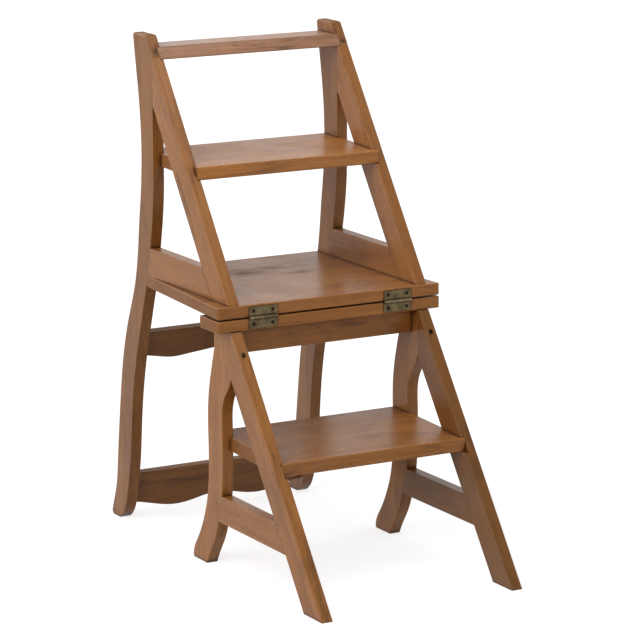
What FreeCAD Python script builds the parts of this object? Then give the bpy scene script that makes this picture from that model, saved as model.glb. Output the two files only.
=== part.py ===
import FreeCAD, Part
import os
import Sketcher
from FreeCAD import Placement, Rotation, Vector

# Folding library chair, modelled as the step ladder that it opens into.
# Millimetres. +X is the right-hand side, -Y the front of the ladder, +Z up.
# The origin is on the floor, in the middle of the footprint. Depths are first
# counted from the front edges of the two seat boards, where the hinges are,
# and each node's placement then moves it to the origin.

doc = FreeCAD.newDocument("library_chair")

# Driving dimensions

SIZES = (
    ("total_height", 900.0, "floor to the tops of the back posts"),
    ("frame_width", 392.0, "over the outer faces of the side frames"),
    ("side_thick", 21.0, "thickness of every side member"),
    ("seat_width", 440.0, "seat boards at the hinge"),
    ("board_thick", 21.0, "seat boards"),
    ("board_gap", 2.4, "between the two seat boards"),
    ("board_ease", 2.0, "rounding of the seat boards and steps"),
    ("board_corner", 4.0, "rounding of the seat boards' corners in plan"),
    ("side_ease", 1.0, "rounding of the side members' open edges"),
    ("rail_ease", 1.5, "rounding of the cross rails' open edges"),
    ("top_ease", 4.0, "rounding of the posts' tops"),
    ("front_board_depth", 68.0, "narrow seat board"),
    ("joint_gap", 0.1, "between shaped ends that meet a curved member"),
    ("pin_ahead", 3.0, "hinge pin ahead of the boards' front edges"),
    ("post_front", 282.5, "front face of the posts above the seat"),
    ("post_top_slope", 26.0, "set-back of the posts' top by the sloping plane"),
    ("rear_board_past", 75.0, "rear board behind the posts' front face"),
    ("upper_foot", 6.3, "foot of the upper diagonals behind the front edge"),
    ("upper_diagonal_deep", 60.6, "upper diagonal, level front to back"),
    ("lower_diagonal_deep", 61.7, "lower diagonal, level front to back"),
    ("lower_top_ahead", 2.5, "top of the lower diagonals ahead of the leg"),
    ("fold_room", 1.5, "between the two flights when the chair is closed"),
    ("upper_rail_high", 50.8, "side rails on the seat board"),
    ("lower_rail_low", 85.0, "underside of the lower side rails"),
    ("lower_rail_high", 47.8, "height of the lower side rails"),
    ("step_thick", 23.0, "upper and lower step"),
    ("step_rise", 0.034, "rise of the steps to the rear, per millimetre"),
    ("step_enter", 5.6, "depth that the step ends enter their housings"),
    ("housing_deep", 6.0, "housings for the step ends"),
    ("upper_step_front", 145.0, "front face of the upper step"),
    ("lower_step_top", 230.0, "top of the lower step at its front face"),
    ("step_stagger", 18.7, "upper step above the mirror of the lower one"),
    ("step_meet", 1.0, "between the steps when the chair is closed"),
    ("top_step_drop", 20.5, "top of the narrow step under the post tops"),
    ("top_step_thick", 21.0, "narrow top step"),
    ("top_step_rear", 67.5, "narrow top step behind the posts' front face"),
    ("lower_step_past", 81.0, "rear end of the lower step behind the hinge line"),
    ("leg_block_deep", 59.0, "square top of the front legs"),
    ("leg_shoulder", 30.8, "lower step shoulder in front of the leg"),
    ("apron_front", 20.0, "apron behind the leg fronts"),
    ("apron_thick", 18.0, "apron"),
    ("apron_high", 42.3, "apron"),
    ("rail_thick", 16.0, "mid rail and crest rail"),
    ("mid_rail_front", 83.5, "front arris of the mid rail behind the posts' front"),
    ("mid_rail_top", 354.0, "top of the mid rail"),
    ("mid_rail_lean", 17.0, "degrees that the mid rail leans"),
    ("crest_front", 126.5, "front arris of the crest behind the posts' front"),
    ("crest_top", 84.0, "top of the crest rail, low down in the ladder"),
    ("crest_lean", 10.5, "degrees that the crest rail leans"),
    ("hinge_in", 87.0, "middle of each hinge from the end of the seat boards"),
    ("leaf_long", 54.0, "hinge leaf along the pin"),
    ("leaf_high", 19.0, "hinge leaf from the pin to its edge"),
    ("leaf_thick", 2.0, "hinge leaf"),
    ("leaf_set_in", 0.6, "depth of the leaf in the board's edge"),
    ("gain_room", 0.3, "gain round the leaf"),
    ("gain_over", 2.6, "gain past one end of the leaf"),
    ("knuckle_radius", 3.2, "hinge knuckles"),
    ("knuckle_gap", 0.3, "between knuckles, and leaf to knuckle"),
    ("pin_radius", 1.5, "hinge pin"),
    ("pin_play", 0.05, "running clearance of the pin"),
    ("pin_proud", 0.5, "pin past each end of the knuckles"),
    ("screw_out", 18.5, "hinge screws from the middle of the hinge"),
    ("screw_up", 11.5, "hinge screws from the pin"),
    ("screw_head", 3.5, "hinge screw head radius"),
    ("screw_shank", 1.6, "hinge screw shank radius"),
    ("screw_long", 15.0, "hinge screw shank in the board"),
    ("slot_wide", 1.0, "screw slots"),
    ("slot_deep", 0.7, "screw slots"),
    ("bolt_drop", 34.8, "frame screws under the narrow seat board"),
    ("bolt_bore", 4.5, "counterbore radius of the frame screws"),
    ("bolt_sunk", 11.0, "counterbore depth of the frame screws"),
    ("bolt_head", 4.1, "frame screw head radius"),
    ("bolt_head_high", 3.6, "frame screw head"),
    ("bolt_shank", 2.4, "frame screw shank radius"),
    ("bolt_end", 20.0, "frame screw tip behind the joint with the leg"),
    ("dowel_radius", 4.0, "dowels"),
    ("dowel_half", 18.0, "dowel on each side of a joint"),
    ("dowel_cover", 6.0, "side member left outside a dowel's end"),
    ("joint_dowel_low", 0.2, "share of the upper diagonal's joint under its low dowel"),
    ("joint_dowel_high", 0.6, "share of that joint under its high dowel"),
    ("leg_dowel", 0.28, "share of the lower diagonal's joint under its dowel"),
    ("apron_dowel_high", 0.25, "share of the apron over its high dowels"),
    ("apron_dowel_low", 0.75, "share of the apron over its low dowels"),
)

# Stations of the curved members: name, height, front face, rear face.
# Heights of the post under the seat are shares of the seat's underside, and
# those over the rail are shares of the height from the rail to the top.
# Faces are distances behind the front face that the post has over the seat.

POST_BELOW = (
    ("toe", 0.045, 128.5, 176.5),
    ("ankle", 0.131, 115.5, 163.0),
    ("low_shin", 0.244, 104.5, 156.0),
    ("shin", 0.415, 96.5, 147.0),
    ("calf", 0.618, 82.5, 134.0),
    ("knee", 0.824, 57.0, 108.5),
)

POST_ABOVE = (
    ("hip", 0.143, 5.5, 56.5),
    ("loin", 0.236, 1.4, 51.5),
    ("waist", 0.31, 0.0, 48.5),
)

POST_REAR = (
    ("rib", 0.47, 46.5),
    ("shoulder", 0.674, 53.0),
    ("neck", 0.862, 65.5),
)

POST_SPOTS = (
    ("post_sole_front", 149.5),
    ("post_sole_rear", 175.5),
    ("post_heel_rear", 181.5),
    ("post_under_seat", 32.0),
    ("post_on_seat", 26.5),
    ("post_on_rail", 15.2),
    ("post_rear_at_seat", 77.0),
    ("post_top_rear", 74.5),
)

# Heights of the leg are shares of the height under the narrow board, and its
# faces are distances behind the face that meets the lower diagonal.

LEG_FRONT = (
    ("scroll", 0.764, 10.0),
    ("bead", 0.725, 23.0),
    ("hollow", 0.662, 32.0),
    ("thigh", 0.59, 32.0),
    ("shank", 0.49, 31.0),
    ("low_shank", 0.38, 32.0),
)

LEG_FOOT = (
    ("instep", 0.133, 57.0),
    ("welt", 0.089, 68.0),
)

LEG_REAR = (
    ("block", 0.922, 59.0),
    ("cuff", 0.872, 65.0),
    ("bulge", 0.76, 78.0),
    ("calf", 0.666, 84.0),
    ("shin", 0.491, 83.0),
    ("ankle", 0.353, 84.0),
    ("low_ankle", 0.266, 90.0),
    ("arch", 0.171, 105.0),
    ("ball", 0.091, 125.0),
    ("toe", 0.028, 141.0),
)

LEG_FACES = (
    ("leg_on_rail", 35.0),
    ("leg_under_rail", 48.5),
    ("leg_sole_front", 91.0),
    ("leg_sole_rear", 139.0),
    ("leg_heel_rear", 142.0),
    ("heel_up", 6.0),
)

# Lower edges of the two shaped rails: name, share of the half length, depth.

MID_RAIL = (
    ("centre", 0.0, 45.0),
    ("shoulder", 0.23, 49.0),
    ("slope", 0.43, 53.0),
    ("lobe", 0.62, 56.2),
    ("outer", 0.85, 50.0),
    ("end", 1.0, 46.0),
)

CREST = (
    ("centre", 0.0, 61.0),
    ("shoulder", 0.21, 66.1),
    ("slope", 0.35, 71.4),
    ("lobe", 0.53, 73.2),
    ("outer", 0.77, 65.5),
    ("end", 1.0, 57.0),
)

RAIL_DOWELS = (
    ("rail_dowel_drop", 14.0, "first dowel of a shaped rail under its top"),
    ("rail_dowel_step", 20.0, "second dowel under the first"),
)

# Places worked out from the driving dimensions

PLACES = (
    ("floor", "0"),
    ("middle", "0"),
    ("pin_height", "Sizes.total_height / 2"),
    ("outer_face", "Sizes.frame_width / 2"),
    ("inner_face", "outer_face - Sizes.side_thick"),
    ("side_middle", "outer_face - Sizes.side_thick / 2"),
    ("seat_half", "Sizes.seat_width / 2"),
    ("hinge_out", "seat_half - Sizes.hinge_in"),
    ("seat_bottom", "pin_height + Sizes.board_gap / 2"),
    ("seat_top", "seat_bottom + Sizes.board_thick"),
    ("front_board_top", "pin_height - Sizes.board_gap / 2"),
    ("front_board_bottom", "front_board_top - Sizes.board_thick"),
    ("rear_board_rear", "Sizes.post_front + Sizes.rear_board_past"),
    ("post_top_front", "Sizes.post_front + Sizes.post_top_slope"),
    ("upper_rake", "(post_top_front - Sizes.upper_foot) / (Sizes.total_height - seat_top)"),
    ("upper_foot_rear", "Sizes.upper_foot + Sizes.upper_diagonal_deep"),
    ("upper_joint_top", "seat_top + (Sizes.post_front - Sizes.upper_foot) / upper_rake"),
    ("upper_joint_low", "seat_top + (Sizes.post_front - upper_foot_rear) / upper_rake"),
    ("lower_reach", "post_top_front + 2 * Sizes.pin_ahead - Sizes.fold_room"),
    ("lower_rake", "(lower_reach - Sizes.lower_top_ahead) / front_board_bottom"),
    ("lower_foot_rear", "lower_reach - Sizes.lower_diagonal_deep"),
    ("lower_joint_low", "lower_foot_rear / lower_rake"),
    ("upper_rail_top", "seat_top + Sizes.upper_rail_high"),
    ("upper_rail_foot", "upper_foot_rear + upper_rake * Sizes.upper_rail_high"),
    ("lower_rail_top", "Sizes.lower_rail_low + Sizes.lower_rail_high"),
    ("lower_rail_low_end", "lower_foot_rear - lower_rake * Sizes.lower_rail_low"),
    ("lower_rail_top_end", "lower_foot_rear - lower_rake * lower_rail_top"),
    ("lower_step_ahead", "Sizes.upper_step_front + 2 * Sizes.pin_ahead - Sizes.step_meet"),
    ("upper_step_top", "Sizes.total_height - Sizes.lower_step_top + Sizes.step_stagger"),
    ("step_half", "inner_face + Sizes.step_enter"),
    ("upper_step_rear", "Sizes.post_front + Sizes.post_rib_rear"),
    ("top_step_top", "Sizes.total_height - Sizes.top_step_drop"),
    ("top_step_bottom", "top_step_top - Sizes.top_step_thick"),
    ("top_step_end", "Sizes.post_front + Sizes.top_step_rear"),
    ("top_step_nose", "Sizes.upper_foot + upper_rake * (top_step_top - seat_top)"),
    ("top_step_toe", "Sizes.upper_foot + upper_rake * (top_step_bottom - seat_top)"),
    ("leaf_face", "Sizes.leaf_set_in - Sizes.leaf_thick"),
    ("leaf_notch", "Sizes.knuckle_radius + Sizes.knuckle_gap"),
    ("knuckle_long", "Sizes.leaf_long / 5"),
    ("pin_back", "-Sizes.pin_ahead"),
    ("bolt_high", "front_board_bottom - Sizes.bolt_drop"),
    ("bolt_face", "lower_rake * bolt_high - lower_reach"),
    ("bolt_seat", "bolt_face + Sizes.bolt_sunk"),
    ("dowel_side", "Sizes.side_thick - Sizes.dowel_cover"),
    ("dowel_cross", "dowel_side + Sizes.dowel_half"),
    ("dowel_start", "inner_face - Sizes.dowel_half"),
    ("footprint_shift", "(lower_reach - Sizes.post_front - Sizes.post_heel_rear) / 2"),
)

HOME = {}
ROWS = {"Sizes": 0, "Places": 0}
SHEETS = {}
for sheet_name in ROWS:
    SHEETS[sheet_name] = doc.addObject("Spreadsheet::Sheet", sheet_name)


def set_cell(sheet_name, alias, content, note=""):
    """Put one named value in a sheet."""
    ROWS[sheet_name] += 1
    row = ROWS[sheet_name]
    sheet = SHEETS[sheet_name]
    sheet.set("A%d" % row, alias)
    sheet.set("B%d" % row, content)
    sheet.setAlias("B%d" % row, alias)
    if note:
        sheet.set("C%d" % row, note)
    HOME[alias] = sheet_name


def set_size(alias, size, note=""):
    set_cell("Sizes", alias, str(size), note)


def set_place(alias, formula):
    set_cell("Places", alias, "=" + formula)


def set_post_stations():
    for name, share, front, rear in POST_BELOW:
        set_size("post_%s_share" % name, share)
        set_size("post_%s_front" % name, front)
        set_size("post_%s_rear" % name, rear)
        set_place("post_%s_z" % name, "seat_bottom * Sizes.post_%s_share" % name)
        set_place("post_%s_fy" % name, "Sizes.post_front + Sizes.post_%s_front" % name)
        set_place("post_%s_ry" % name, "Sizes.post_front + Sizes.post_%s_rear" % name)
    for name, share, front, rear in POST_ABOVE:
        set_size("post_%s_share" % name, share)
        set_size("post_%s_front" % name, front)
        set_size("post_%s_rear" % name, rear)
        reach = "(Sizes.total_height - upper_rail_top) * Sizes.post_%s_share" % name
        set_place("post_%s_z" % name, "upper_rail_top + " + reach)
        set_place("post_%s_fy" % name, "Sizes.post_front + Sizes.post_%s_front" % name)
        set_place("post_%s_ry" % name, "Sizes.post_front + Sizes.post_%s_rear" % name)
    for name, share, rear in POST_REAR:
        set_size("post_%s_share" % name, share)
        reach = "(Sizes.total_height - upper_rail_top) * Sizes.post_%s_share" % name
        set_place("post_%s_z" % name, "upper_rail_top + " + reach)
        set_place("post_%s_ry" % name, "Sizes.post_front + Sizes.post_%s_rear" % name)
    for name, back in POST_SPOTS:
        set_place(name + "_y", "Sizes.post_front + Sizes." + name)


def set_leg_stations():
    for group in (LEG_FRONT, LEG_FOOT, LEG_REAR):
        for name, share, back in group:
            end = "rear" if group is LEG_REAR else "front"
            alias = "leg_%s_%s" % (name, end)
            set_size(alias + "_share", share)
            set_size(alias, back)
            set_place(alias + "_z", "front_board_bottom * Sizes.%s_share" % alias)
    for name, back in LEG_FACES:
        set_size(name, back)


def set_rail_stations(rail, stations):
    for name, share, depth in stations:
        alias = "%s_%s" % (rail, name)
        set_size(alias + "_share", share)
        set_size(alias + "_deep", depth)
        set_place(alias + "_x", "inner_face * Sizes.%s_share" % alias)


def fill_sheets():
    for alias, size, note in SIZES:
        set_size(alias, size, note)
    for alias, size, note in RAIL_DOWELS:
        set_size(alias, size, note)
    for name, share, rear in POST_REAR:
        set_size("post_%s_rear" % name, rear)
    for name, back in POST_SPOTS:
        set_size(name, back)
    for alias, formula in PLACES:
        set_place(alias, formula)
    set_post_stations()
    set_leg_stations()
    set_rail_stations("mid_rail", MID_RAIL)
    set_rail_stations("crest", CREST)
    doc.recompute()


def link(term):
    """Turn a cell name, with or without a minus sign, into an expression."""
    name = term.lstrip("-")
    return term.replace(name, HOME[name] + "." + name)


def number(term):
    """Read a cell, with or without a minus sign."""
    name = term.lstrip("-")
    size = float(SHEETS[HOME[name]].get(name))
    return -size if term.startswith("-") else size


fill_sheets()

# Sketches and features

ALONG_X = Rotation(Vector(0, 1, 0), 90)
ALONG_Y = Rotation(Vector(1, 0, 0), -90)
ALONG_Z = Rotation()


def new_body(name):
    body = doc.addObject("PartDesign::Body", name)
    body.Label = name
    return body


def new_sketch(body, name, role, offset="0"):
    """A sketch on one of the body's own origin planes, moved along its normal."""
    sketch = body.newObject("Sketcher::SketchObject", body.Name + "_" + name)
    for feature in body.Origin.OriginFeatures:
        if feature.Role == role:
            sketch.AttachmentSupport = [(feature, "")]
    sketch.MapMode = "FlatFace"
    sketch.setExpression(".AttachmentOffset.Base.z", offset)
    return sketch


def curve_between(start, inner, end):
    """A spline through named stations."""
    spots = [start] + [(number(across), number(up)) for across, up in inner] + [end]
    spline = Part.BSplineCurve()
    points = [Vector(across, up, 0) for across, up in spots]
    spline.interpolate(points)
    return spline


def draw(sketch, corners, curves=None):
    """Close an outline through named corners, straight or along a spline.

    curves maps the number of the corner where a spline starts to its inner
    stations.
    """
    curves = curves or {}
    spots = [(number(across), number(up)) for across, up in corners]
    count = len(corners)
    for index in range(count):
        start = spots[index]
        end = spots[(index + 1) % count]
        if index in curves:
            edge = curve_between(start, curves[index], end)
        else:
            edge = Part.LineSegment(Vector(*start, 0), Vector(*end, 0))
        sketch.addGeometry(edge, False)
    for index in range(count):
        after = (index + 1) % count
        sketch.addConstraint(Sketcher.Constraint("Coincident", index, 2, after, 1))
    for index, (across, up) in enumerate(corners):
        spot = spots[index]
        for kind, place, term in (("DistanceX", spot[0], across), ("DistanceY", spot[1], up)):
            rule = Sketcher.Constraint(kind, -1, 1, index, 1, place)
            rule_index = sketch.addConstraint(rule)
            sketch.setExpression("Constraints[%d]" % rule_index, link(term))


# Where the four corners of a free outline are drawn before its constraints move them
ROUGH_CORNERS = ((0, 0), (100, 0), (100, 100), (0, 100))


def draw_free(sketch, corners):
    """Close a four-sided outline whose corners are expressions."""
    count = len(corners)
    for index in range(count):
        start = ROUGH_CORNERS[index]
        end = ROUGH_CORNERS[(index + 1) % count]
        sketch.addGeometry(Part.LineSegment(Vector(*start, 0), Vector(*end, 0)), False)
    for index in range(count):
        after = (index + 1) % count
        sketch.addConstraint(Sketcher.Constraint("Coincident", index, 2, after, 1))
    for index, (across, up) in enumerate(corners):
        spot = ROUGH_CORNERS[index]
        for kind, place, term in (("DistanceX", spot[0], across), ("DistanceY", spot[1], up)):
            rule = Sketcher.Constraint(kind, -1, 1, index, 1, place)
            rule_index = sketch.addConstraint(rule)
            sketch.setExpression("Constraints[%d]" % rule_index, term)


def pad(body, sketch, length, side=1, symmetric=False):
    feature = body.newObject("PartDesign::Pad", sketch.Name + "_pad")
    feature.Profile = sketch
    feature.setExpression("Length", length)
    feature.Reversed = side < 0
    if symmetric:
        feature.SideType = "Symmetric"
    doc.recompute()
    return feature


def pocket(body, sketch, length, side):
    """Cut a sketch on the side of its plane that side names."""
    before = body.Shape.Volume
    feature = body.newObject("PartDesign::Pocket", sketch.Name + "_pocket")
    feature.Profile = sketch
    feature.setExpression("Length", length)
    feature.Reversed = side > 0
    doc.recompute()
    if body.Shape.Volume >= before:
        raise RuntimeError(feature.Name + " cuts nothing")
    return feature


def bind_place(feature, across, back, up):
    feature.setExpression(".Placement.Base.x", across)
    feature.setExpression(".Placement.Base.y", back)
    feature.setExpression(".Placement.Base.z", up)


def cut_box(body, name, spot, size):
    """Cut a box whose corner and three sizes are expressions."""
    before = body.Shape.Volume
    box = body.newObject("PartDesign::SubtractiveBox", body.Name + "_" + name)
    box.setExpression("Length", size[0])
    box.setExpression("Width", size[1])
    box.setExpression("Height", size[2])
    bind_place(box, *spot)
    doc.recompute()
    if body.Shape.Volume >= before:
        raise RuntimeError(box.Name + " cuts nothing")


def cut_round(body, name, turn, spot, radius, length):
    """Cut a round hole along one axis."""
    before = body.Shape.Volume
    hole = body.newObject("PartDesign::SubtractiveCylinder", body.Name + "_" + name)
    hole.Placement = Placement(Vector(), turn)
    hole.setExpression("Radius", radius)
    hole.setExpression("Height", length)
    bind_place(hole, *spot)
    doc.recompute()
    if body.Shape.Volume >= before:
        raise RuntimeError(hole.Name + " cuts nothing")


def cut_cone(body, name, turn, spot, radius_one, radius_two, length):
    cone = body.newObject("PartDesign::SubtractiveCone", body.Name + "_" + name)
    cone.Placement = Placement(Vector(), turn)
    cone.setExpression("Radius1", radius_one)
    cone.setExpression("Radius2", radius_two)
    cone.setExpression("Height", length)
    bind_place(cone, *spot)
    doc.recompute()


def ease(body, radius, wanted):
    """Round the edges of the body's tip that are wanted, judged with their middle point."""
    tip = body.Tip
    names = []
    for index, edge in enumerate(tip.Shape.Edges):
        middle = edge.valueAt((edge.FirstParameter + edge.LastParameter) / 2)
        if wanted(edge, middle):
            names.append("Edge%d" % (index + 1))
    feature = body.newObject("PartDesign::Fillet", body.Name + "_ease")
    feature.Base = (tip, names)
    feature.setExpression("Radius", radius)
    doc.recompute()
    if not names or not feature.Shape.isValid():
        raise RuntimeError(feature.Name + " rounds nothing")


def is_nought(size):
    """Whether a length is as good as nought."""
    return abs(size) < 0.001


def ease_curves(body, wanted):
    """Round the curved outline edges of a side member that are wanted."""
    ease(body, "Sizes.side_ease",
         lambda edge, middle: "BSpline" in edge.Curve.TypeId
         and is_nought(edge.BoundBox.XLength) and wanted(edge))


def ease_slopes(body):
    """Round the sloping edges of a diagonal."""
    least = number("side_thick")
    ease(body, "Sizes.side_ease",
         lambda edge, middle: is_nought(edge.BoundBox.XLength)
         and min(edge.BoundBox.YLength, edge.BoundBox.ZLength) > least)


def ease_along(body, radius, low, high):
    """Round the level edges along Y whose heights lie between two places."""
    least = number("side_thick")
    ease(body, radius,
         lambda edge, middle: edge.BoundBox.YLength > least and low < middle.z < high
         and is_nought(edge.BoundBox.ZLength))


def ease_across(body, radius, low, high):
    """Round the long edges across the ladder whose heights lie between two places."""
    ease(body, radius,
         lambda edge, middle: edge.BoundBox.XLength > number("inner_face")
         and low < middle.z < high)


# Dowels: each has a node, a direction, a start, a length and the bored bodies

DOWELS = {}
BORES = {}


def add_dowel(node, turn, spot, length, bodies):
    DOWELS.setdefault(node, []).append((turn, spot, length))
    for name in bodies:
        BORES.setdefault(name, []).append((turn, spot, length))


def cross_dowel(node, back, up, side, rail, member):
    """A dowel along X from a cross piece into a side member."""
    if side > 0:
        start = "Places.dowel_start"
    else:
        start = "-Places.dowel_start - Places.dowel_cross"
    spot = (start, back, up)
    add_dowel(node, ALONG_X, spot, "Places.dowel_cross", (rail, member))


def side_middle(side):
    """The middle of a side frame's thickness, right or left."""
    return "Places.side_middle" if side > 0 else "-Places.side_middle"


def flat_dowel(node, joint, up, side, bodies):
    """A dowel along Y through a joint between two side members."""
    spot = (side_middle(side), joint + " - Sizes.dowel_half", up)
    add_dowel(node, ALONG_Y, spot, "2 * Sizes.dowel_half", bodies)


def middle_of(first, second):
    return "(%s + %s) / 2" % (first, second)


def rail_spot(rail, drop):
    """Middle of a leaning rail's thickness, at a distance under its top."""
    lean = "Sizes.%s_lean * 1 deg" % rail
    front = "Sizes.post_front + Sizes.%s_front" % rail
    up = "Sizes.%s_top" % rail
    half = "Sizes.rail_thick / 2"
    back = "%s + %s * cos(%s) + (%s) * sin(%s)" % (front, half, lean, drop, lean)
    high = "%s + %s * sin(%s) - (%s) * cos(%s)" % (up, half, lean, drop, lean)
    return back, high


def plan_upper_dowels(hand, side):
    """Dowels of the frame that swings: posts, upper flight and rear seat board."""
    post = hand + "back_post"
    diagonal = hand + "upper_diagonal"
    for rail, node in (("mid_rail", "back_mid_rail"), ("crest", "crest_rail")):
        for drop in ("Sizes.rail_dowel_drop", "Sizes.rail_dowel_drop + Sizes.rail_dowel_step"):
            back, high = rail_spot(rail, drop)
            cross_dowel("back_rail_dowels", back, high, side, node, post)

    back = middle_of("Sizes.post_front", "Places.upper_step_rear")
    high = "Places.upper_step_top - Sizes.step_thick / 2"
    high += " + Sizes.step_rise * (%s - Sizes.upper_step_front)" % back
    cross_dowel("upper_step_dowels", back, high, side, "upper_step", post)

    back = middle_of("Places.top_step_nose", "Places.top_step_end")
    high = "Places.top_step_top - Sizes.top_step_thick / 2"
    cross_dowel("top_step_dowels", back, high, side, "top_step", post)

    back = middle_of("Places.post_on_seat_y", "Places.rear_board_rear")
    high = "Places.seat_top - Sizes.board_thick / 2"
    cross_dowel("rear_board_dowels", back, high, side, "rear_seat_board", post)

    back = middle_of("Sizes.upper_foot", "Places.upper_foot_rear") + " + Sizes.dowel_radius"
    low = "Places.seat_top - Sizes.board_thick + Sizes.dowel_cover"
    long = "Sizes.board_thick - Sizes.dowel_cover + Sizes.dowel_half"
    add_dowel("diagonal_foot_dowels", ALONG_Z, (side_middle(side), back, low), long,
              ("rear_seat_board", diagonal))

    for share in ("Sizes.joint_dowel_low", "Sizes.joint_dowel_high"):
        high = "Places.upper_joint_low + %s * " % share
        high += "(Places.upper_joint_top - Places.upper_joint_low)"
        flat_dowel("upper_diagonal_dowels", "Sizes.post_front", high, side, (diagonal, post))

    rail = hand + "upper_side_rail"
    high = "Places.seat_top + Sizes.upper_rail_high / 2"
    joint = middle_of("Places.post_on_seat_y", "Places.post_on_rail_y")
    flat_dowel("upper_side_rail_dowels", joint, high, side, (rail, post))
    joint = middle_of("Places.upper_foot_rear", "Places.upper_rail_foot")
    flat_dowel("upper_side_rail_dowels", joint, high, side, (rail, diagonal))


def plan_lower_dowels(hand, side):
    """Dowels of the frame that stands: legs, lower flight and narrow seat board."""
    leg = hand + "front_leg"
    diagonal = hand + "lower_diagonal"
    rail = hand + "lower_side_rail"
    high = "Sizes.lower_rail_low + Sizes.lower_rail_high / 2"
    joint = middle_of("Sizes.leg_on_rail", "Sizes.leg_under_rail")
    flat_dowel("lower_side_rail_dowels", joint, high, side, (rail, leg))
    joint = "-" + middle_of("Places.lower_rail_low_end", "Places.lower_rail_top_end")
    flat_dowel("lower_side_rail_dowels", joint, high, side, (rail, diagonal))

    back = "Sizes.apron_front + Sizes.apron_thick / 2"
    for share in ("Sizes.apron_dowel_high", "Sizes.apron_dowel_low"):
        high = "Places.front_board_bottom - %s * Sizes.apron_high" % share
        cross_dowel("apron_dowels", back, high, side, "front_apron", leg)

    back = middle_of("Sizes.leg_shoulder", "Sizes.lower_step_past")
    high = "Sizes.lower_step_top - Sizes.step_thick / 2"
    high += " + Sizes.step_rise * (%s + Places.lower_step_ahead)" % back
    cross_dowel("lower_step_dowels", back, high, side, "lower_step", leg)

    back = "Sizes.leg_block_deep - 3 * Sizes.dowel_radius"
    low = "Places.front_board_bottom - Sizes.dowel_half"
    long = "Sizes.board_thick - Sizes.dowel_cover + Sizes.dowel_half"
    add_dowel("front_board_dowels", ALONG_Z, (side_middle(side), back, low), long,
              ("front_seat_board", leg))

    high = "Places.lower_joint_low + Sizes.leg_dowel * "
    high += "(Places.front_board_bottom - Places.lower_joint_low)"
    flat_dowel("lower_diagonal_dowels", "0", high, side, (diagonal, leg))


for member_hand, member_side in (("right_", 1), ("left_", -1)):
    plan_upper_dowels(member_hand, member_side)
    plan_lower_dowels(member_hand, member_side)


def bore_dowels(body):
    for index, (turn, spot, length) in enumerate(BORES.get(body.Name, [])):
        cut_round(body, "bore%d" % index, turn, spot, "Sizes.dowel_radius", length)


def bundle(node, pieces):
    """Put several solids in one node."""
    group = doc.addObject("Part::Compound", node)
    group.Label = node
    group.Links = pieces
    return group


def make_dowels():
    made = []
    for node, places in DOWELS.items():
        pins = []
        for index, (turn, spot, length) in enumerate(places):
            pin = doc.addObject("Part::Cylinder", "%s_%d" % (node, index))
            pin.Placement = Placement(Vector(), turn)
            pin.setExpression("Radius", "Sizes.dowel_radius")
            pin.setExpression("Height", length)
            bind_place(pin, *spot)
            pins.append(pin)
        made.append(bundle(node, pins))
    return made


# Side members

def side_sketch(body, name, side):
    """A sketch on the inner face of the side frame, right or left."""
    return new_sketch(body, name, "YZ_Plane", inner_face(side))


def side_pad(body, sketch, side):
    return pad(body, sketch, "Sizes.side_thick", side)


def make_back_post(hand, side):
    body = new_body(hand + "back_post")
    corners = (
        ("post_sole_front_y", "floor"),
        ("post_under_seat_y", "seat_bottom"),
        ("post_on_seat_y", "seat_top"),
        ("post_on_rail_y", "upper_rail_top"),
        ("post_waist_fy", "post_waist_z"),
        ("post_front", "upper_joint_top"),
        ("post_top_front", "total_height"),
        ("post_top_rear_y", "total_height"),
        ("post_heel_rear_y", "heel_up"),
        ("post_sole_rear_y", "floor"),
    )
    shin = [("post_%s_fy" % row[0], "post_%s_z" % row[0]) for row in POST_BELOW]
    hip = [("post_%s_fy" % row[0], "post_%s_z" % row[0]) for row in POST_ABOVE[:-1]]
    rear = [("post_%s_ry" % row[0], "post_%s_z" % row[0]) for row in reversed(POST_REAR)]
    rear += [("post_%s_ry" % row[0], "post_%s_z" % row[0]) for row in reversed(POST_ABOVE)]
    rear += [("post_rear_at_seat_y", "seat_bottom")]
    rear += [("post_%s_ry" % row[0], "post_%s_z" % row[0]) for row in reversed(POST_BELOW)]
    curves = {
        0: shin,
        3: hip,
        7: rear,
    }
    sketch = side_sketch(body, "outline", side)
    draw(sketch, corners, curves)
    side_pad(body, sketch, side)
    ease_top(body)
    # Only the long outer rear edge is open along its whole length
    ease_curves(body, lambda edge: is_outer_rear(edge, side))
    cut_top_housing(body, side)
    bore_dowels(body)
    return body


def ease_top(body):
    """Round the edges round the top end of a post."""
    high = number("total_height")
    ease(body, "Sizes.top_ease",
         lambda edge, middle: is_nought(edge.BoundBox.ZLength) and is_nought(middle.z - high))


def is_outer_rear(edge, side):
    """Whether an edge is the long rear curve on the outer face of a post."""
    apart = abs(edge.BoundBox.Center.x - side * number("outer_face"))
    return is_nought(apart) and edge.BoundBox.ZLength > number("seat_top")


def inner_face(side):
    """Where the inner face of a side frame lies across the ladder."""
    return "Places.inner_face" if side > 0 else "-Places.inner_face"


def cut_top_housing(body, side):
    """Sink a housing for an end of the top step into the inner face."""
    corner = "Places.inner_face" if side > 0 else "-Places.inner_face - Sizes.housing_deep"
    deep = "Places.top_step_end - Sizes.upper_step_front"
    cut_box(body, "top_housing", (corner, "Sizes.upper_step_front", "Places.top_step_bottom"),
            ("Sizes.housing_deep", deep, "Sizes.top_step_thick"))


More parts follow.
